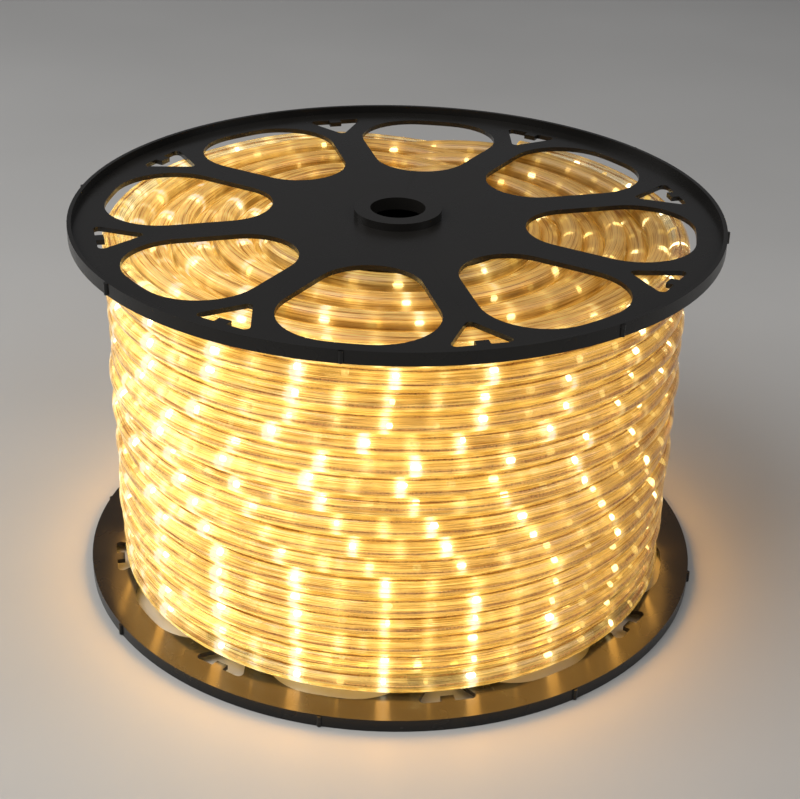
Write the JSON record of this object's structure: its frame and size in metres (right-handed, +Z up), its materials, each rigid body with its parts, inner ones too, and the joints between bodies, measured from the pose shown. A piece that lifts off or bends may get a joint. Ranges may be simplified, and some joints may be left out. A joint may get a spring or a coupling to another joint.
{
  "type": "led rope light on a reel",
  "caption": "Full reel of warm white LED rope light: clear round rope wound in layers on a drum between two black moulded flanges with openings.",
  "frame": {"origin": "on the floor, below the middle of the drum, at the lower flange's rim edge", "axes": "+Z up along the drum's axis, +X through a spoke of the lower flange"},
  "size_m": [0.4, 0.4, 0.2441],
  "materials": {
    "reel_plastic": "black moulded plastic with a soft sheen",
    "rope": "clear soft plastic rope, lit warm white from inside"
  },
  "bodies": {
    "root": {"bottom_flange": "reel_plastic", "top_flange": "reel_plastic", "drum": "reel_plastic", "rope_winding": "rope"}
  },
  "joints": []
}
